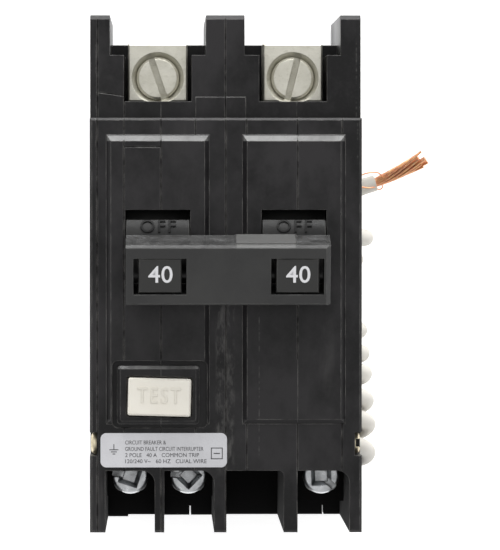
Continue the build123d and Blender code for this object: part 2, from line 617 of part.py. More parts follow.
def sensing_winding():
    """Twelve bundles of magnet wire spaced round the core."""
    bundles = []
    for step in range(12):
        outer = block(-1.2, 1.2, -23.7, -15.1, 4.5, 10.1)
        inner = block(-2, 2, -22.9, -15.9, 5.4, 8.7)
        bundles.append(Pos(0, 0, 14.0) * Rot(0, 30 * step + 15, 0) * (outer - inner))
    return bundles


def load_lead_1():
    points = ((-12.7, -16.2, 24.0), (-12.7, -16.2, 19.6), (-12.7, -12.2, 14.6), (-1.9, -12.4, 12.9),
              (-1.9, -25.5, 12.9), (-16.0, -25.3, 16.0), (-18.0, -28.4, 20.5), (-18.0, -28.4, 28.4))
    return wire(points, (1.8, 1.8, 2.2, 2.4, 2.2, 1.8), LEAD_RADIUS)


def load_lead_2():
    points = ((12.7, -16.2, 24.0), (12.7, -16.2, 22.0), (9.0, -12.4, 20.5), (1.9, -12.4, 12.9),
              (1.9, -25.4, 12.9), (9.5, -25.6, 23.0), (18.45, -28.2, 25.2), (18.45, -28.2, 28.4))
    return wire(points, (0.8, 1.4, 2.0, 2.2, 2.0, 1.6), LEAD_RADIUS)


def neutral_lead():
    points = ((EXIT_X, -39.8, EXIT_Z), (EXIT_X, -41.9, EXIT_Z), (EXIT_X, -41.9, 21.5),
              (EXIT_X, -28.5, 21.6), (9.5, -28.5, 21.2), (0, -28.2, 16.1), (0, -13.95, 16.1),
              (0, -13.95, 25.6), (-6.9, -28.4, 25.6), (-6.9, -28.4, 28.4))
    return wire(points, (1.6, 1.6, 1.8, 1.8, 1.8, 1.3, 1.3, 1.3), LEAD_RADIUS)


def braid(x):
    """The flexible copper link from the bimetal to the contact arm."""
    points = ((x, -15.1, 26.6), (x, -13.7, 26.6), (x, -13.4, 23.4), (x, -6.0, 21.4), (x, 3.0, 21.4),
              (x, 8.6, 27.0))
    return wire(points, (1.25, 1.4, 3.0, 4.0), 1.1)


# --- test button -------------------------------------------------------------------------
def test_button():
    cap = rounded_pad(-TEST_SIZE[0] / 2, TEST_SIZE[0] / 2, -TEST_SIZE[1] / 2, TEST_SIZE[1] / 2,
                      FRONT_Z - 3.2, PANEL_Z + 1.7, 0.4)
    cap = chamfer(cap.edges().group_by(Axis.Z)[-1], 0.3)
    flange = block(-6.6, 6.6, -4.3, 4.3, FRONT_Z - 3.4, FRONT_Z - 2.3)
    stem = rod_z(0, 0, 1.2, 48.7, FRONT_Z - 3)
    return Pos(TEST_X, TEST_Y, 0) * Rot(0, 0, TEST_TURN) * (cap + flange + stem)


def test_spring():
    return Pos(TEST_X, TEST_Y, 46.8) * spring_body(2.1, 0.35, 12)


def test_contact():
    return block(TEST_X - 3.6, -4.0, TEST_Y - 2.5, TEST_Y + 2.5, 45.6, 46.8)


# --- pigtail -----------------------------------------------------------------------------
def pigtail_bushing():
    sleeve = rod_y(EXIT_X, EXIT_Z, 2.2, -40.5, RECESS[1])
    flange = rod_y(EXIT_X, EXIT_Z, 2.3, RECESS[1], COIL_YS[0])
    return sleeve + flange - rod_y(EXIT_X, EXIT_Z, LEAD_RADIUS, -42, -39.8)


def pigtail_coil():
    """The outside shape of the coiled part of the pigtail."""
    return rod_y(COIL_X, COIL_Z, COIL_RADIUS, *COIL_YS)


def turn_radii(points):
    """An arc at each corner, 0.45 of the shorter run over the tangent of half the turn."""
    radii = []
    for before, corner, after in zip(points, points[1:], points[2:]):
        run_in = Vector(*corner) - Vector(*before)
        run_out = Vector(*after) - Vector(*corner)
        half = radians(run_in.get_angle(run_out)) / 2
        radii.append(0.45 * min(run_in.length, run_out.length) * cos(half) / sin(half))
    print("arc radii", [round(radius, 1) for radius in radii])
    return radii


def pigtail_tail():
    return wire(TAIL_POINTS, turn_radii(TAIL_POINTS), WIRE_RADIUS) - pigtail_coil()


def pigtail_strands():
    return wire(STRAND_POINTS, turn_radii(STRAND_POINTS), 1.15) - pigtail_tail()


# --- assembly ----------------------------------------------------------------------------
def all_nodes():
    nodes = case_shells()
    nodes["case_rivets"] = rivets()
    nodes["rating_label"] = rating_label()
    nodes["handle_tie_bar"] = tie_bar()
    nodes["handle_pins"] = handle_pins()
    nodes["fixed_contacts"] = [fixed_contact(x) for x in POLE_XS]
    nodes["magnet_yokes"] = [magnet(x) for x in POLE_XS]
    nodes["arc_chutes"] = [piece for x in POLE_XS for piece in arc_chute(x)]
    for number, x in enumerate(POLE_XS, 1):
        nodes[f"handle_{number}"] = handle(x)
        nodes[f"contact_arm_{number}"] = contact_arm(x)
        nodes[f"moving_contact_{number}"] = moving_contact(x)
        nodes[f"line_strap_{number}"] = line_strap(x)
        nodes[f"line_lug_{number}"] = line_lug(x)
        nodes[f"line_screw_{number}"] = line_screw(x, LINE_SLOT_ANGLES[number - 1])
        nodes[f"cradle_{number}"] = cradle(x)
        nodes[f"toggle_spring_{number}"] = toggle_spring(x)
        nodes[f"bimetal_{number}"] = bimetal(x)
        nodes[f"armature_{number}"] = armature(x)
        nodes[f"braid_{number}"] = braid(x)
    nodes["trip_bar"] = trip_bar()
    nodes["trip_coil"] = trip_coil()
    nodes["trip_plunger"] = trip_plunger()
    nodes["circuit_board"] = circuit_board()
    nodes["board_components"] = board_components()
    nodes["sensing_core"] = sensing_core()
    nodes["sensing_winding"] = sensing_winding()
    nodes["load_lead_1"] = load_lead_1()
    nodes["load_lead_2"] = load_lead_2()
    nodes["neutral_lead"] = neutral_lead()
    nodes["test_button"] = test_button()
    nodes["test_spring"] = test_spring()
    nodes["test_contact"] = test_contact()
    strap_names = ("load_strap_1", "neutral_strap", "load_strap_2")
    screw_names = ("load_screw_1", "neutral_screw", "load_screw_2")
    for strap, screw, x, drive, slot in zip(strap_names, screw_names, LOAD_XS, LOAD_DRIVE_ANGLES,
                                            LOAD_SLOT_ANGLES):
        nodes[strap] = load_strap(x)
        nodes[screw] = load_screw(x, drive, slot)
    nodes["wire_clamps"] = [wire_clamp(x) for x in LOAD_XS]
    nodes["pigtail_bushing"] = pigtail_bushing()
    nodes["pigtail_coil"] = pigtail_coil()
    nodes["pigtail_tail"] = pigtail_tail()
    nodes["pigtail_strands"] = pigtail_strands()
    return nodes


os.makedirs("parts", exist_ok=True)
for node_name, shape in all_nodes().items():
    export_step(Compound(shape) if isinstance(shape, list) else shape, f"parts/{node_name}.step")
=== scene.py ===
import json
import math
import random

import bmesh
import bpy
from mathutils import Matrix, Vector


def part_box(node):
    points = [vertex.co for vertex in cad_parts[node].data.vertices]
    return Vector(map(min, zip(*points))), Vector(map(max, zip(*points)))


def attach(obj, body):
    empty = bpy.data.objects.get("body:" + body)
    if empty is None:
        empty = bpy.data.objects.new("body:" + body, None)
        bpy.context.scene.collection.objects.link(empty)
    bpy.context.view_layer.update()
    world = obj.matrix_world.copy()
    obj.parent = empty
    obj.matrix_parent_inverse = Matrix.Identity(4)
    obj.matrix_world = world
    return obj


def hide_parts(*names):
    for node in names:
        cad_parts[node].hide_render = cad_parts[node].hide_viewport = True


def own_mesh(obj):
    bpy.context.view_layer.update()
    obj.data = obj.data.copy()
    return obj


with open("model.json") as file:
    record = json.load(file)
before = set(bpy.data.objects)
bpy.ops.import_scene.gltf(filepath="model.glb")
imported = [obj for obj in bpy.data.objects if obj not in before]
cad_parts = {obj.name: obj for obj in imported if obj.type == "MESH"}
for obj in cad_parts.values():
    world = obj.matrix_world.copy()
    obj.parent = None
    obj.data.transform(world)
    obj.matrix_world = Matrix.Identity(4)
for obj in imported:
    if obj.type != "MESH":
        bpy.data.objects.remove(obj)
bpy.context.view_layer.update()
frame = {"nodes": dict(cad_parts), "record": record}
NODES = frame["nodes"]
SCENE = bpy.context.scene
MM = 0.001
CASE = "case"

# --- camera ------------------------------------------------------------------------------
CAMERA_AT = (-0.0114, 0.0146, 0.9588)
CAMERA_AIM = (0.0045, -0.0003, 0.0588)
CAMERA_LENS = 315.8
SENSOR = 36.0

# --- the breaker's dimensions that the pieces need, in millimetres --------------------------
POLE_XS = (-12.7, 12.7)
PIVOT = (4.8, 50.8)
REST_TILT = 15.0
BARREL_RADIUS = 10.0
LEVER_OFFSET = 0.4
LEVER_TIP = 19.7
TILT = math.radians(REST_TILT)
# Directions for masks on a surface: the object's axes, and out along and across the levers.
DIRECTIONS = {"x": (1, 0, 0), "y": (0, 1, 0), "z": (0, 0, 1),
              "lever": (0, -math.sin(TILT), math.cos(TILT)),
              "across": (0, math.cos(TILT), math.sin(TILT))}
PIVOT_LEVER = PIVOT[1] * math.cos(TILT) - PIVOT[0] * math.sin(TILT)
PIVOT_ACROSS = PIVOT[0] * math.cos(TILT) + PIVOT[1] * math.sin(TILT)
TEST_AT = (-12.4, -23.0)
TEST_TURN = -1.5

# --- places of marks, painted highlights and painted shade on the case and the tie bar, in millimetres ---
TOOL_MARKS = ((-24.3, 22.0, 44.0), (24.6, 22.0, 43.0), (6.2, -33.0, 4.0))  # X, and Y from and to
CHANNEL = {"x": (-1.6, 1.3), "y": (-34.0, 3.0)}
PANEL_LINE_Y = 25.9
PANEL_LOAD_Y = -28.1
PANEL_BEVEL_Z = (59.0, 59.75)
BEZEL_TOP_HIGHLIGHT = {"x": (-20.0, -5.3), "y": (-17.78, -17.2), "z": (59.72, 60.3)}
POCKETS = {"x": (-24.4, 24.4), "y": (-48.1, -36.4), "z": (1.0, 57.6)}
TIE_BAR_HIGHLIGHT_X = (2.0, 12.6)
TIE_BAR_HOLE_HALF_WIDTH = 5.1

# --- neutral pigtail, in metres ------------------------------------------------------------
CORD_DIAMETER = 0.00326
CORD_EXIT = (0.0159, -0.0386, 0.00815)
EXIT_RUN = 0.0009
COIL_Z = 0.00815
# Each turn as (Y where it bulges out on the right, centre X, radius of the wire's middle line).
TURNS = ((-0.0362, 0.0222, 0.00647), (-0.0306, 0.0222, 0.00647), (-0.0259, 0.0220, 0.00635),
         (-0.0206, 0.0218, 0.00620), (-0.0166, 0.0215, 0.00600), (-0.0120, 0.0212, 0.00585),
         (-0.0076, 0.0204, 0.00500), (-0.0029, 0.0203, 0.00490), (0.0019, 0.0208, 0.00540),
         (0.0062, 0.0220, 0.00620))
POINTS_PER_TURN = 14
TURN_TILTS = (0.22, 0.20, 0.12, 0.05, 0.0, -0.04, -0.04, -0.04, -0.08, -0.08)
FIRST_TURN_Y = -0.0376
# The pitch runs on past the table's ends by these shares of a turn, and the coil ends part way
# round its last turn.
BEFORE_FIRST_TURN = 0.21
PAST_LAST_TURN = 0.17
LAST_TURN_SHARE = 0.56
TAIL_POINTS = ((0.0234, 0.0152, 0.0030), (0.0303, 0.0170, 0.0026))
STRAND_POINTS = ((0.0299, 0.0169, 0.0026), (0.0349, 0.0189, 0.0028), (0.0401, 0.0220, 0.0038))
STRAND_RADIUS = 0.00024
INNER_RING = 0.00046
OUTER_RING = 0.00090
STRAND_TWIST = 1.7
LOOSE_STRAND_RADIUS = 0.00013
LOOSE_STRANDS = (
    ((0.0320, 0.0176, 0.0034), (0.0314, 0.0190, 0.0040), (0.0296, 0.0192, 0.0046),
     (0.0272, 0.0186, 0.0048), (0.0254, 0.0170, 0.0046)),
    ((0.0306, 0.0163, 0.0036), (0.0296, 0.0160, 0.0046), (0.0280, 0.0161, 0.0048),
     (0.0256, 0.0165, 0.0048)),
    ((0.0308, 0.0172, 0.0032), (0.0317, 0.0168, 0.0030), (0.0318, 0.0160, 0.0026),
     (0.0311, 0.0156, 0.0024), (0.0304, 0.0161, 0.0028), (0.0306, 0.0168, 0.0034)),
)

# --- spring under the test button, in metres -------------------------------------------------
SPRING_WIRE_RADIUS = 0.0003
SPRING_TURNS = 8
SPRING_STEPS_PER_TURN = 12

# --- lettering on the barrels, in millimetres and degrees -------------------------------------
BARREL_LETTER_HEIGHT = 2.5
BARREL_LETTER_RAISE = 0.28
BARREL_LETTER_ROOT = 0.3
BARREL_LETTER_ANGLE = 38.5

# --- print on the label, in millimetres: a line's text, its ends in X and its Y ---------------
LABEL_LINES = (
    ("CIRCUIT BREAKER &", -18.8, -11.2, -31.55),
    ("GROUND FAULT CIRCUIT INTERRUPTER", -18.8, -4.2, -32.75),
    ("2 POLE   40 A   COMMON TRIP", -18.8, -5.0, -33.9),
    ("120/240 V~   60 HZ   CU/AL WIRE", -18.8, -3.6, -35.05),
)
LABEL_LETTER_HEIGHT = 0.74
PRINT_THICKNESS = 0.02
# Bars of an earth sign and of a square sign: centre X and Y, width and height.
EARTH_SIGN = ((-20.9, -32.35, 0.16, 1.0), (-20.9, -32.9, 1.7, 0.16), (-20.9, -33.3, 1.1, 0.16),
              (-20.9, -33.7, 0.5, 0.16))
SQUARE_SIGN = ((-1.7, -32.6, 2.2, 0.16), (-1.7, -34.6, 2.2, 0.16), (-2.72, -33.6, 0.16, 2.0),
               (-0.68, -33.6, 0.16, 2.0), (-1.7, -33.6, 1.2, 0.18))

# --- floor and light, in metres and watts -----------------------------------------------------
FLOOR_HALF = 3.0
FLOOR_Z = -0.0002
LIGHT_AIM = (0, 0, 0.05)
LIGHTS = (  # name, place, size, power
    ("top_softbox", (0.1, 1.2, 0.31), (1.3, 0.5), 18),
    ("upper_strip", (0.0, 0.95, 0.74), (1.0, 0.12), 3),
    ("left_softbox", (-0.95, 0.25, 0.85), (0.7, 0.5), 2.4),
    ("right_softbox", (0.95, 0.1, 0.85), (0.7, 0.5), 2),
    ("lower_softbox", (0.0, -1.15, 0.5), (0.9, 0.4), 1),
)
# The sky's strength rises with height between these two heights and strengths.
SKY = {"From Min": 0.15, "From Max": 0.95, "To Min": 0.24, "To Max": 0.77}

# --- colour of rubbed edges and scuffs on black parts; on edges it is partly a painted highlight ---
WEAR_AND_HIGHLIGHT = (0.20, 0.195, 0.185)


# --- scene objects -------------------------------------------------------------------------
def linked(name, data):
    obj = bpy.data.objects.new(name, data)
    SCENE.collection.objects.link(obj)
    return obj


def make_camera():
    """A long lens over the front of the breaker, as it lies on its back."""
    data = bpy.data.cameras.new("camera")
    data.sensor_width = SENSOR
    data.lens = CAMERA_LENS
    data.clip_start = 0.01
    cam = linked("camera", data)
    cam.location = CAMERA_AT
    cam.rotation_mode = "QUATERNION"
    ahead = (Vector(CAMERA_AIM) - Vector(CAMERA_AT)).normalized()
    right = ahead.cross(Vector((0, 1, 0))).normalized()
    axes = Matrix((right, right.cross(ahead), -ahead)).transposed()
    cam.rotation_quaternion = axes.to_quaternion()
    SCENE.camera = cam


def area_light(name, at, size, power):
    """A soft rectangular light that faces the breaker."""
    data = bpy.data.lights.new(name, "AREA")
    data.shape = "RECTANGLE"
    data.size, data.size_y = size
    data.energy = power
    light = linked(name, data)
    light.location = at
    light.rotation_mode = "QUATERNION"
    light.rotation_quaternion = (Vector(LIGHT_AIM) - Vector(at)).to_track_quat("-Z", "Y")


# --- material nodes ------------------------------------------------------------------------
class Surface:
    """A material under construction: its node tree, its shader and the object's coordinates."""

    def __init__(self, name, colour, roughness, metallic=0.0, **shader_values):
        self.material = bpy.data.materials.new(name)
        self.material.use_nodes = True
        self.tree = self.material.node_tree
        self.shader = self.tree.nodes["Principled BSDF"]
        self.shader.inputs["Metallic"].default_value = metallic
        for key, value in shader_values.items():
            self.shader.inputs[key.replace("_", " ")].default_value = value
        self.at = self.add("TexCoord").outputs["Object"]
        self.colour = self.fixed_colour(colour)
        self.rough = self.fixed(roughness)
        self.bevel = None
        self.normal = None

    def add(self, kind, inputs=(), **settings):
        """A new node with its settings, and with links or values on its inputs."""
        made = self.tree.nodes.new("ShaderNode" + kind)
        for key, value in settings.items():
            setattr(made, key, value)
        for key, value in dict(inputs).items():
            if isinstance(value, bpy.types.NodeSocket):
                self.tree.links.new(value, made.inputs[key])
            else:
                made.inputs[key].default_value = value
        return made

    def fixed(self, number):
        made = self.add("Value")
        made.outputs[0].default_value = number
        return made.outputs[0]

    def fixed_colour(self, colour):
        made = self.add("RGB")
        made.outputs[0].default_value = (*colour, 1.0)
        return made.outputs[0]

    def noise(self, scale, stretch=(1, 1, 1), detail=4.0, rough=0.55, turn=(0, 0, 0), warp=0.0):
        place = self.add("Mapping", {"Vector": self.at, "Scale": stretch, "Rotation": turn})
        made = self.add("TexNoise", {"Vector": place.outputs[0], "Scale": scale, "Detail": detail,
                                     "Roughness": rough, "Distortion": warp})
        return made.outputs["Fac"]

    def ramp(self, value, low, high, out_low=0.0, out_high=1.0):
        """A straight rise, or fall, between two values, and flat beyond them."""
        made = self.add("MapRange", {"Value": value, "From Min": low, "From Max": high,
                                     "To Min": out_low, "To Max": out_high})
        made.clamp = True
        return made.outputs[0]

    def product(self, *factors):
        """The product of several masks and numbers."""
        total = factors[0]
        for factor in factors[1:]:
            total = self.add("Math", {0: total, 1: factor}, operation="MULTIPLY").outputs[0]
        return total

    def mix_colour(self, factor, colour):
        """Blends the colour towards another by a factor between 0 and 1."""
        made = self.add("Mix", {0: factor, 6: self.colour, 7: (*colour, 1.0)}, data_type="RGBA")
        self.colour = made.outputs[2]

    def mix_rough(self, factor, roughness):
        """Blends the roughness towards another by a factor between 0 and 1."""
        made = self.add("Mix", {0: factor, 2: self.rough, 3: roughness}, data_type="FLOAT")
        self.rough = made.outputs[0]

    def rounded(self, radius):
        """Shades sharp edges as if they were rounded, and keeps the result for edge wear and
        painted edge highlights.
        """
        self.bevel = self.add("Bevel", {"Radius": radius}, samples=4).outputs[0]
        self.normal = self.bevel

    def edge(self):
        """1 along edges and 0 on flat faces."""
        flat = self.add("NewGeometry").outputs["True Normal"]
        dot = self.add("VectorMath", {0: self.bevel, 1: flat}, operation="DOT_PRODUCT")
        return self.ramp(dot.outputs["Value"], 0.995, 0.93)

    def recess_shade(self, reach, colour):
        """Painted shade: darkens crevices and recesses narrower than a reach in metres."""
        open_sky = self.add("AmbientOcclusion", {"Distance": reach}, samples=6).outputs["AO"]
        self.mix_colour(self.ramp(open_sky, 0.25, 0.85, 1.0, 0.0), colour)

    def bump(self, height, distance, strength):
        """Adds relief to what the surface already has: a height from 0 to 1, a depth in metres."""
        inputs = {"Height": height, "Distance": distance, "Strength": strength}
        if self.normal is not None:
            inputs["Normal"] = self.normal
        self.normal = self.add("Bump", inputs).outputs[0]

    def within(self, direction, low, high, soft):
        """1 between two distances along a direction in millimetres, with soft ends."""
        dot = self.add("VectorMath", {0: self.at, 1: DIRECTIONS[direction]},
                       operation="DOT_PRODUCT")
        rise = self.ramp(dot.outputs["Value"], (low - soft) * MM, low * MM)
        fall = self.ramp(dot.outputs["Value"], high * MM, (high + soft) * MM, 1.0, 0.0)
        return self.product(rise, fall)

    def done(self):
        """Joins what was built to the shader."""
        links = self.tree.links
        links.new(self.colour, self.shader.inputs["Base Color"])
        links.new(self.rough, self.shader.inputs["Roughness"])
        if self.normal is not None:
            links.new(self.normal, self.shader.inputs["Normal"])
        return self.material


def case_marks(s):
    """Tool marks, the rubbed channel, painted highlights and painted light on bevels, and painted
    shade in the pockets. Returns the pockets' painted shade.
    """
    for x, low_y, high_y in TOOL_MARKS:
        mark = s.product(s.within("x", x - 0.05, x + 0.05, 0.12), s.within("y", low_y, high_y, 2.0))
        broken = s.ramp(s.noise(520, (0.2, 1, 0.2), detail=3, rough=0.8), 0.48, 0.66)
        s.mix_colour(s.product(mark, broken, 0.2), WEAR_AND_HIGHLIGHT)
    channel = s.product(s.within("x", *CHANNEL["x"], 0.5), s.within("y", *CHANNEL["y"], 4.0))
    rub = s.ramp(s.noise(700, (1, 0.35, 1), detail=6, rough=0.7), 0.46, 0.72)
    s.mix_colour(s.product(rub, channel, 0.36), WEAR_AND_HIGHLIGHT)
    s.mix_rough(s.product(channel, 0.6), 0.52)
    # Painted highlight: the panels' top bevel is lightened, in patches, and made glossier.
    line_bevel_highlight = s.product(s.within("y", PANEL_LINE_Y - 1.2, PANEL_LINE_Y - 0.05, 0.05),
                           s.within("z", *PANEL_BEVEL_Z, 0.05),
                           s.ramp(s.noise(300), 0.35, 0.6, 0.6, 1.0))
    s.mix_colour(line_bevel_highlight, (0.13, 0.13, 0.128))
    s.mix_rough(line_bevel_highlight, 0.25)
    # Painted light: the panels' lower bevel, which faces away from the light, is lightened to match
    # the face.
    load_bevel_light = s.product(s.within("y", PANEL_LOAD_Y, PANEL_LOAD_Y + 0.85, 0.05),
                           s.within("z", *PANEL_BEVEL_Z, 0.05))
    s.mix_colour(load_bevel_light, (0.030, 0.029, 0.030))
    # Painted highlight along the top bevel of the test button's bezel, in patches; it is also made
    # glossier.
    bezel_highlight = s.product(s.within("x", *BEZEL_TOP_HIGHLIGHT["x"], 0.2), s.within("y", *BEZEL_TOP_HIGHLIGHT["y"], 0.04),
                          s.within("z", *BEZEL_TOP_HIGHLIGHT["z"], 0.02))
    highlight_patches = s.ramp(s.noise(140, (1, 0.2, 0.2)), 0.42, 0.6, 0.25, 1.0)
    s.mix_colour(s.product(bezel_highlight, highlight_patches), (0.17, 0.17, 0.168))
    s.mix_rough(bezel_highlight, 0.22)
    # Painted shade: the deep load pockets are darkened to near black and made dull.
    pocket_shade = s.product(s.within("x", *POCKETS["x"], 0.3), s.within("y", *POCKETS["y"], 0.2),
                        s.within("z", *POCKETS["z"], 0.8))
    s.mix_colour(pocket_shade, (0.0025, 0.0023, 0.0026))
    s.mix_rough(pocket_shade, 0.95)
    return pocket_shade


def handle_marks(s):
    """A duller, greyer pad on the lever's end, behind its number."""
    tip = s.within("lever", PIVOT_LEVER + LEVER_TIP - 0.12, PIVOT_LEVER + 30, 0.05)
    s.mix_colour(tip, (0.034, 0.034, 0.033))
    s.mix_rough(tip, 0.55)


def tie_bar_marks(s):
    """A shinier back face with painted streaky reflections and a painted highlight, and painted
    shade in the holes round the levers.
    """
    back = s.within("across", PIVOT_ACROSS + 5.45, PIVOT_ACROSS + 9, 0.1)
    # Painted reflections: lighter streaks over the glossy back face, and a painted highlight on its
    # raised block.
    reflection_streaks = s.ramp(s.noise(170, (1, 0.1, 1.6), detail=4, rough=0.7), 0.40, 0.62)
    s.mix_rough(back, 0.24)
    s.mix_colour(s.product(back, reflection_streaks), (0.085, 0.085, 0.085))
    s.mix_colour(s.product(back, s.within("x", *TIE_BAR_HIGHLIGHT_X, 0.3)), (0.11, 0.11, 0.108))
    for x in POLE_XS:
        middle = x + LEVER_OFFSET
        # Painted shade: the holes round the levers are darkened to near black and made dull.
        hole_shade = s.product(s.within("x", middle - TIE_BAR_HOLE_HALF_WIDTH,
                                  middle + TIE_BAR_HOLE_HALF_WIDTH, 0.05),
                         s.within("across", PIVOT_ACROSS - 3.8, PIVOT_ACROSS + 3.6, 0.05),
                         s.within("lever", 0.0, PIVOT_LEVER + LEVER_TIP - 0.4, 0.1))
        s.mix_colour(hole_shade, (0.003, 0.003, 0.003))
        s.mix_rough(hole_shade, 0.95)


def phenolic(name, shade_dark_letters, light, roughness, bevel, edge_wear_highlight=WEAR_AND_HIGHLIGHT, marks=None, specular=0.33):
    """Moulded black thermoset: cloudy patches, fine grain, rubbed edges that are partly a painted
    highlight, and a few dry smears.

    marks adds what only one piece has, and may return a mask of painted shade, where its edges
    aren't rubbed.
    """
    s = Surface(name, shade_dark_letters, roughness, Specular_IOR_Level=specular)
    s.rounded(bevel)
    cloud = s.noise(55, (1, 0.7, 1), detail=7, rough=0.66)
    s.mix_colour(s.ramp(cloud, 0.44, 0.62, 0.0, 0.9), light)
    s.mix_rough(s.ramp(cloud, 0.40, 0.62), roughness + 0.14)
    grain = s.noise(1500, detail=3, rough=0.7)
    s.mix_colour(s.ramp(grain, 0.5, 0.78, 0.0, 0.35), light)
    smear = s.ramp(s.noise(210, (1, 0.1, 0.3), detail=4, turn=(0, 0, 0.5), warp=0.6), 0.60, 0.74)
    s.mix_colour(s.product(smear, s.ramp(s.noise(45), 0.50, 0.66), 0.22), edge_wear_highlight)
    shaded_unrubbed = marks(s) if marks else None
    # Lighter edges: partly real rubbing, partly a painted edge highlight.
    worn_highlit_edges = s.product(s.edge(), s.ramp(s.noise(420, detail=5), 0.38, 0.64, 0.12, 1.0))
    # No rubbed edges where shade is painted.
    if shaded_unrubbed is not None:
        worn_highlit_edges = s.product(worn_highlit_edges, s.ramp(shaded_unrubbed, 0.0, 1.0, 1.0, 0.0))
    s.mix_colour(s.product(worn_highlit_edges, 0.7), edge_wear_highlight)
    s.bump(grain, 0.00003, 0.45)
    s.bump(s.noise(190, (1, 0.5, 1), detail=3), 0.00012, 0.4)
    return s.done()


def plastic(name, colour, second, roughness, bevel=0.0002, grain=1600, height=0.00002):
    """Plain moulded plastic with a little colour drift, fine grain and toned edges."""
    s = Surface(name, colour, roughness)
    s.rounded(bevel)
    s.mix_colour(s.ramp(s.noise(130, detail=5), 0.4, 0.72, 0.0, 0.7), second)
    s.mix_rough(s.ramp(s.noise(500), 0.35, 0.7), min(1.0, roughness + 0.15))
    s.mix_colour(s.product(s.edge(), s.ramp(s.noise(420), 0.4, 0.7, 0.1, 0.5)), second)
    s.bump(s.noise(grain, detail=4), height, 0.6)
    return s.done()


def metal(name, colour, tarnish, roughness, brush=(1, 1, 1), grain=900, height=0.00002, spots=0.5,
          recess_shade_reach=0.0):
    """Plated or bare metal: brushed grain, dull patches, pits, brighter rubbed edges, and painted
    shade in recesses if recess_shade_reach is set.
    """
    s = Surface(name, colour, roughness, metallic=1.0)
    s.rounded(0.00015)
    s.mix_colour(s.ramp(s.noise(260, detail=6), 0.42, 0.75, 0.0, spots), tarnish)
    fine = s.noise(grain, brush, detail=5, rough=0.65)
    s.mix_colour(s.ramp(fine, 0.55, 0.8, 0.0, spots), tarnish)
    s.mix_rough(s.ramp(fine, 0.3, 0.75), min(1.0, roughness + 0.25))
    bright = tuple(min(1.0, part * 1.25) for part in colour)
    s.mix_colour(s.product(s.edge(), 0.6), bright)
    # Painted shade in recesses and crevices, such as the screw drives.
    if recess_shade_reach:
        s.recess_shade(recess_shade_reach, (0.012, 0.012, 0.012))
    s.bump(fine, height, 0.7)
    return s.done()


def printed_label(name, colour, second):
    """A thin silvered label: fine metallic grain with a slight drift of tone."""
    s = Surface(name, colour, 0.46, Specular_IOR_Level=0.5)
    s.mix_colour(s.ramp(s.noise(160, detail=4), 0.4, 0.7, 0.0, 0.6), second)
    speckle = s.noise(3800, detail=2, rough=0.7)
    s.mix_colour(s.ramp(speckle, 0.5, 0.72, 0.0, 0.5), second)
    s.mix_rough(s.ramp(speckle, 0.35, 0.7), 0.6)
    s.bump(speckle, 0.00001, 0.4)
    return s.done()


def strand_copper(name):
    """Bare copper wires: brown, orange and golden from wire to wire, dulled in patches."""
    s = Surface(name, (0.84, 0.42, 0.24), 0.34, metallic=1.0)
    s.mix_colour(s.ramp(s.noise(900, detail=2), 0.48, 0.58, 0.0, 0.6), (0.88, 0.56, 0.27))
    s.mix_colour(s.ramp(s.noise(1300, detail=2), 0.55, 0.68, 0.0, 0.7), (0.58, 0.25, 0.15))
    s.mix_colour(s.ramp(s.noise(2100, detail=3), 0.60, 0.72), (0.95, 0.84, 0.60))
    s.mix_rough(s.ramp(s.noise(1800), 0.35, 0.65), 0.55)
    s.bump(s.noise(3000, detail=3), 0.00001, 0.5)
    return s.done()


def make_materials():
    """One material for each of the record's slots, by the slot's name."""
    return {
        "black_phenolic": phenolic("black_phenolic", (0.0008, 0.0006, 0.0009),
                                   (0.0185, 0.0172, 0.0185), 0.32, 0.00025, marks=case_marks),
        "handle_black": phenolic("handle_black", (0.008, 0.008, 0.008), (0.018, 0.018, 0.0175),
                                 0.27, 0.0002, marks=handle_marks),
        "tie_bar_grey": phenolic("tie_bar_grey", (0.035, 0.035, 0.035), (0.048, 0.048, 0.047),
                                 0.55, 0.00018, (0.20, 0.20, 0.19), tie_bar_marks),
        "cream_button": plastic("cream_button", (0.84, 0.81, 0.73), (0.78, 0.74, 0.65), 0.42),
        "silver_label": printed_label("silver_label", (0.61, 0.61, 0.635), (0.51, 0.51, 0.53)),
        "rivet_brass": metal("rivet_brass", (0.76, 0.68, 0.50), (0.42, 0.35, 0.23), 0.38),
        "lug_aluminium": metal("lug_aluminium", (0.66, 0.645, 0.57), (0.46, 0.445, 0.37), 0.42,
                               (0.7, 1, 1), 1500, 0.00007, 0.6),
        "zinc_screw": metal("zinc_screw", (0.86, 0.88, 0.90), (0.62, 0.64, 0.65), 0.24,
                            recess_shade_reach=0.0022),
        "zinc_steel": metal("zinc_steel", (0.50, 0.51, 0.52), (0.30, 0.30, 0.29), 0.40,
                            (1, 1, 0.2)),
        "copper": metal("copper", (0.72, 0.38, 0.20), (0.40, 0.18, 0.09), 0.34, grain=1500),
        "silver_contact": metal("silver_contact", (0.74, 0.73, 0.70), (0.42, 0.40, 0.36), 0.32),
        "white_insulation": plastic("white_insulation", (0.72, 0.695, 0.64), (0.58, 0.555, 0.50),
                                    0.45, 0.0001, 900, 0.00003),
        "black_insulation": plastic("black_insulation", (0.016, 0.016, 0.017),
                                    (0.04, 0.04, 0.04), 0.5),
        "board_green": plastic("board_green", (0.02, 0.10, 0.045), (0.03, 0.16, 0.07), 0.4),
        "coil_wrap": plastic("coil_wrap", (0.22, 0.09, 0.03), (0.34, 0.16, 0.05), 0.42),
    }


# --- curves --------------------------------------------------------------------------------
def nurbs_curve(name, runs, radius):
    """A curve object of open NURBS splines through lists of control points, in metres."""
    data = bpy.data.curves.new(name, "CURVE")
    data.dimensions = "3D"
    data.bevel_depth = radius
    data.bevel_resolution = 4
    data.resolution_u = 6
    data.use_fill_caps = True
    for points in runs:
        spline = data.splines.new("NURBS")
        spline.points.add(len(points) - 1)
        for place, point in zip(spline.points, points):
            place.co = (*point, 1.0)
        spline.order_u = 3
        spline.use_endpoint_u = True
    return linked(name, data)


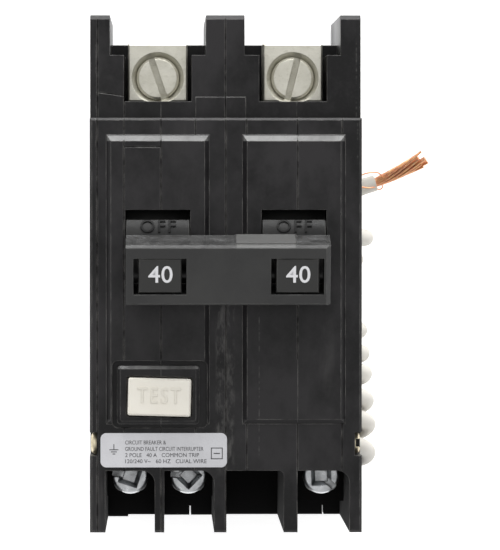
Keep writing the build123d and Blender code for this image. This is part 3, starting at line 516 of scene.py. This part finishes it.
def pigtail_points():
    """The wire's control points: out of the bushing, round the turns, and on along the tail."""
    points = [CORD_EXIT, (CORD_EXIT[0], CORD_EXIT[1] + EXIT_RUN, CORD_EXIT[2])]
    # A spline cuts inside its control points, so they lie this much outside the wire's line.
    swell = 1.0 / math.cos(math.pi / POINTS_PER_TURN / 2)
    last = len(TURNS) - 1
    first_step = POINTS_PER_TURN // 2 + 1
    last_step = POINTS_PER_TURN * (last + 1) + int(LAST_TURN_SHARE * POINTS_PER_TURN)
    for step in range(first_step, last_step + 1):
        turns = step / POINTS_PER_TURN
        place = min(max(turns - 1.0, -BEFORE_FIRST_TURN), last + PAST_LAST_TURN)
        low = min(max(int(math.floor(place)), 0), last - 1)
        share = place - low
        y, x, radius = [a + (b - a) * share for a, b in zip(TURNS[low], TURNS[low + 1])]
        angle = 2 * math.pi * turns
        y = max(y + TURN_TILTS[low] * radius * math.sin(angle), FIRST_TURN_Y)
        points.append((x + radius * swell * math.cos(angle), y,
                       COIL_Z + radius * swell * math.sin(angle)))
    return points + list(TAIL_POINTS)


def make_pigtail():
    """The neutral wire in its coil, as one free cord."""
    cord = nurbs_curve("neutral_pigtail", [pigtail_points()], CORD_DIAMETER / 2)
    cord.data.bevel_resolution = 8
    cord.data.materials.append(MATERIALS["white_insulation"])
    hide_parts("pigtail_coil", "pigtail_tail")
    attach(cord, CASE)
    return cord


def line_through(points):
    """Points along the NURBS line of a few control points."""
    guide = nurbs_curve("guide", [points], 0.0)
    bpy.context.view_layer.update()
    mesh = bpy.data.meshes.new_from_object(guide)
    found = [v.co.copy() for v in mesh.vertices]
    bpy.data.objects.remove(guide)
    bpy.data.meshes.remove(mesh)
    return found


def make_strands():
    """The stripped end: nineteen fine strands, lightly twisted, flaring and ending unevenly."""
    rng = random.Random(11)
    line = line_through(STRAND_POINTS)
    lay = [(0.0, 0.0)]
    lay += [(INNER_RING, math.tau * k / 6) for k in range(6)]
    lay += [(OUTER_RING, math.tau * (k + 0.5) / 12) for k in range(12)]
    runs = []
    for radius, start in lay:
        stop = len(line) - rng.choice((0, 0, 1))
        stray = rng.uniform(-0.1, 0.9)
        run = []
        for step in range(stop):
            share = step / (len(line) - 1)
            ahead = line[min(step + 1, len(line) - 1)] - line[max(step - 1, 0)]
            side = ahead.cross(Vector((0, 0, 1))).normalized()
            up = side.cross(ahead).normalized()
            bulge = 0.46 * math.sin(math.pi * min(1.0, share * 0.9))
            spread = 0.66 + bulge + (0.25 + stray) * share ** 4
            angle = start + STRAND_TWIST * share
            run.append(line[step] + side * (radius * spread * math.cos(angle))
                       + up * (radius * spread * math.sin(angle)))
        runs.append(run)
    strands = nurbs_curve("pigtail_copper_strands", runs, STRAND_RADIUS)
    strands.data.bevel_resolution = 2
    loops = nurbs_curve("pigtail_loose_strands", LOOSE_STRANDS, LOOSE_STRAND_RADIUS)
    bare = strand_copper("strand_copper")
    for piece in (strands, loops):
        piece.data.materials.append(bare)
        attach(piece, CASE)
    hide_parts("pigtail_strands")
    return [strands, loops]


# --- spring under the test button ----------------------------------------------------------
def make_test_spring():
    """A wire spring with closed ends."""
    low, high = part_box("test_spring")
    radius = (high.x - low.x) / 2 - SPRING_WIRE_RADIUS
    points = []
    for step in range(SPRING_STEPS_PER_TURN * SPRING_TURNS + 1):
        turn = step / SPRING_STEPS_PER_TURN
        share = min(max((turn - 1.0) / (SPRING_TURNS - 2.0), 0.0), 1.0)
        z = low.z + SPRING_WIRE_RADIUS + share * (high.z - low.z - 2 * SPRING_WIRE_RADIUS)
        angle = math.tau * turn
        points.append(((low.x + high.x) / 2 + radius * math.cos(angle),
                       (low.y + high.y) / 2 + radius * math.sin(angle), z))
    guide = nurbs_curve("test_spring_guide", [points], SPRING_WIRE_RADIUS)
    bpy.context.view_layer.update()
    mesh = bpy.data.meshes.new_from_object(guide)
    bpy.data.objects.remove(guide)
    spring = linked("test_return_spring", mesh)
    spring.data.materials.clear()
    spring.data.materials.append(MATERIALS["zinc_steel"])
    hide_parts("test_spring")
    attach(spring, CASE)
    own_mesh(spring)


# --- lettering -----------------------------------------------------------------------------
def letters(name, text, width, height, depth, weight=0.0, spacing=1.0):
    """A mesh of raised letters in millimetres, centred on the origin, its back at z = 0."""
    data = bpy.data.curves.new(name + "_text", "FONT")
    data.body = text
    data.extrude = 0.05
    data.offset = weight
    data.space_character = spacing
    data.resolution_u = 4
    source = linked(name + "_text", data)
    bpy.context.view_layer.update()
    shown = source.evaluated_get(bpy.context.evaluated_depsgraph_get())
    mesh = bpy.data.meshes.new_from_object(shown)
    bpy.data.objects.remove(source)
    mesh.name = name
    low = [min(v.co[i] for v in mesh.vertices) for i in range(3)]
    high = [max(v.co[i] for v in mesh.vertices) for i in range(3)]
    size = (width, height, depth)
    for v in mesh.vertices:
        v.co = [((v.co[i] - low[i]) / (high[i] - low[i]) - (0.5 if i < 2 else 0.0)) * size[i]
                for i in range(3)]
    return linked(name, mesh)


def placed(piece, matrix, body, slot, material=None):
    """Puts a millimetre mesh in place, in metres, and rides it on a body."""
    piece.data.transform(Matrix.Scale(MM, 4) @ matrix)
    piece.data.materials.append(material or MATERIALS[slot])
    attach(piece, body)


def handle_frame(x):
    """From a handle's own frame, lever upright at the origin, to its place at rest."""
    return Matrix.Translation((x, *PIVOT)) @ Matrix.Rotation(math.radians(REST_TILT), 4, "X")


def barrel_letters(name, text, x, middle, width, material):
    """Letters raised on a handle's barrel, wrapped round it and centred at an angle in degrees."""
    height = BARREL_LETTER_HEIGHT
    depth = BARREL_LETTER_RAISE + BARREL_LETTER_ROOT
    piece = letters(name, text, width, height, depth, weight=0.004, spacing=1.15)
    shape = bmesh.new()
    shape.from_mesh(piece.data)
    for level in (-0.36, -0.18, 0.0, 0.18, 0.36):
        everything = shape.verts[:] + shape.edges[:] + shape.faces[:]
        bmesh.ops.bisect_plane(shape, geom=everything, plane_co=(0, level * height, 0),
                               plane_no=(0, 1, 0))
    shape.to_mesh(piece.data)
    shape.free()
    for v in piece.data.vertices:
        angle = math.radians(middle) + v.co.y / BARREL_RADIUS
        reach = BARREL_RADIUS - BARREL_LETTER_ROOT + v.co.z
        v.co = (v.co.x, reach * math.sin(angle), reach * math.cos(angle))
    placed(piece, handle_frame(x), "handle", "handle_black", material)


def make_lettering():
    """The numbers on the levers, the words on the barrels and the button, and the label's print."""
    white = plastic("printed_white", (0.80, 0.80, 0.82), (0.70, 0.70, 0.72), 0.5, 0.00005)
    ink = plastic("label_ink", (0.035, 0.035, 0.038), (0.07, 0.07, 0.075), 0.5, 0.00003)
    # Painted shade: the barrel letters get a darker copy of the handle plastic, standing in for the
    # shade at their raised edges.
    shade_dark_letters = phenolic("barrel_lettering", (0.003, 0.003, 0.003), (0.006, 0.006, 0.006), 0.45,
                    0.00008, (0.006, 0.006, 0.006), specular=0.24)
    # Painted shade: the button's raised letters get a slightly darker copy of its cream, standing
    # in for the shade at their edges.
    shaded_button_letters = plastic("button_lettering", (0.79, 0.76, 0.68), (0.74, 0.70, 0.61), 0.42, 0.0001)
    for number, x in enumerate(POLE_XS, 1):
        rating = letters(f"handle_{number}_rating", "40", 4.5, 3.25, 0.06, weight=0.008,
                         spacing=1.02)
        place = handle_frame(x) @ Matrix.Translation((LEVER_OFFSET + 0.1, 0.3, LEVER_TIP - 0.02))
        placed(rating, place, "handle", "handle_black", white)
        barrel_letters(f"handle_{number}_off_mark", "OFF", x + 0.05, BARREL_LETTER_ANGLE, 6.6, shade_dark_letters)
        barrel_letters(f"handle_{number}_on_mark", "ON", x + 0.05, -BARREL_LETTER_ANGLE, 4.6, shade_dark_letters)
    test = letters("test_button_letters", "TEST", 8.1, 3.0, 0.16, weight=0.012, spacing=1.25)
    turn = Matrix.Rotation(math.radians(TEST_TURN), 4, "Z")
    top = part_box("test_button")[1].z / MM
    place = Matrix.Translation((*TEST_AT, top - 0.02)) @ turn @ Matrix.Translation((-0.1, 0.35, 0))
    placed(test, place, "test_button", "cream_button", shaded_button_letters)
    label_print(ink)


def label_print(ink):
    """Small grey print on the label, in words and signs that any such device could carry."""
    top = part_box("rating_label")[1].z / MM
    for number, (text, left, right, y) in enumerate(LABEL_LINES, 1):
        line = letters(f"label_line_{number}", text, right - left, LABEL_LETTER_HEIGHT,
                       PRINT_THICKNESS)
        at = Matrix.Translation(((left + right) / 2, y, top))
        placed(line, at, CASE, "silver_label", ink)
    shape = bmesh.new()
    for x, y, width, height in EARTH_SIGN + SQUARE_SIGN:
        at = Matrix.Translation((x, y, top + PRINT_THICKNESS / 2))
        size = Matrix.Diagonal((width, height, PRINT_THICKNESS, 1.0))
        bmesh.ops.create_cube(shape, size=1.0, matrix=at @ size)
    mesh = bpy.data.meshes.new("label_signs")
    shape.to_mesh(mesh)
    shape.free()
    placed(linked("label_signs", mesh), Matrix.Identity(4), CASE, "silver_label", ink)


# --- floor and light -----------------------------------------------------------------------
def make_stage():
    """A pale floor, a sky that brightens with height, and the soft lights."""
    mesh = bpy.data.meshes.new("floor")
    half, low = FLOOR_HALF, FLOOR_Z
    mesh.from_pydata([(-half, -half, low), (half, -half, low), (half, half, low),
                      (-half, half, low)], [], [(0, 1, 2, 3)])
    floor = linked("floor", mesh)
    s = Surface("floor", (0.95, 0.95, 0.95), 0.85, Emission_Color=(1.0, 1.0, 1.0, 1.0),
                Emission_Strength=0.60)
    s.mix_colour(s.ramp(s.noise(8), 0.4, 0.7, 0.0, 0.4), (0.93, 0.93, 0.93))
    floor.data.materials.append(s.done())
    world = bpy.data.worlds.new("studio")
    world.use_nodes = True
    tree = world.node_tree
    sky = tree.nodes["Background"]
    sky.inputs["Color"].default_value = (1.0, 1.0, 1.0, 1.0)
    height = tree.nodes.new("ShaderNodeSeparateXYZ")
    tree.links.new(tree.nodes.new("ShaderNodeTexCoord").outputs["Generated"], height.inputs[0])
    rise = tree.nodes.new("ShaderNodeMapRange")
    for key, value in SKY.items():
        rise.inputs[key].default_value = value
    tree.links.new(height.outputs["Z"], rise.inputs["Value"])
    tree.links.new(rise.outputs[0], sky.inputs["Strength"])
    SCENE.world = world
    SCENE.view_settings.view_transform = "Standard"
    for light in LIGHTS:
        area_light(*light)


def dress_nodes():
    """Gives every CAD node the material of its slot."""
    for part in frame["record"]["subparts"]:
        node = NODES[part["node"]]
        material = MATERIALS[part["material_slot"]]
        if not node.material_slots:
            node.data.materials.append(material)
        for place in node.material_slots:
            place.material = material


MATERIALS = make_materials()
make_camera()
pigtail = make_pigtail()
strand_pieces = make_strands()
dress_nodes()
make_test_spring()
make_lettering()
make_stage()
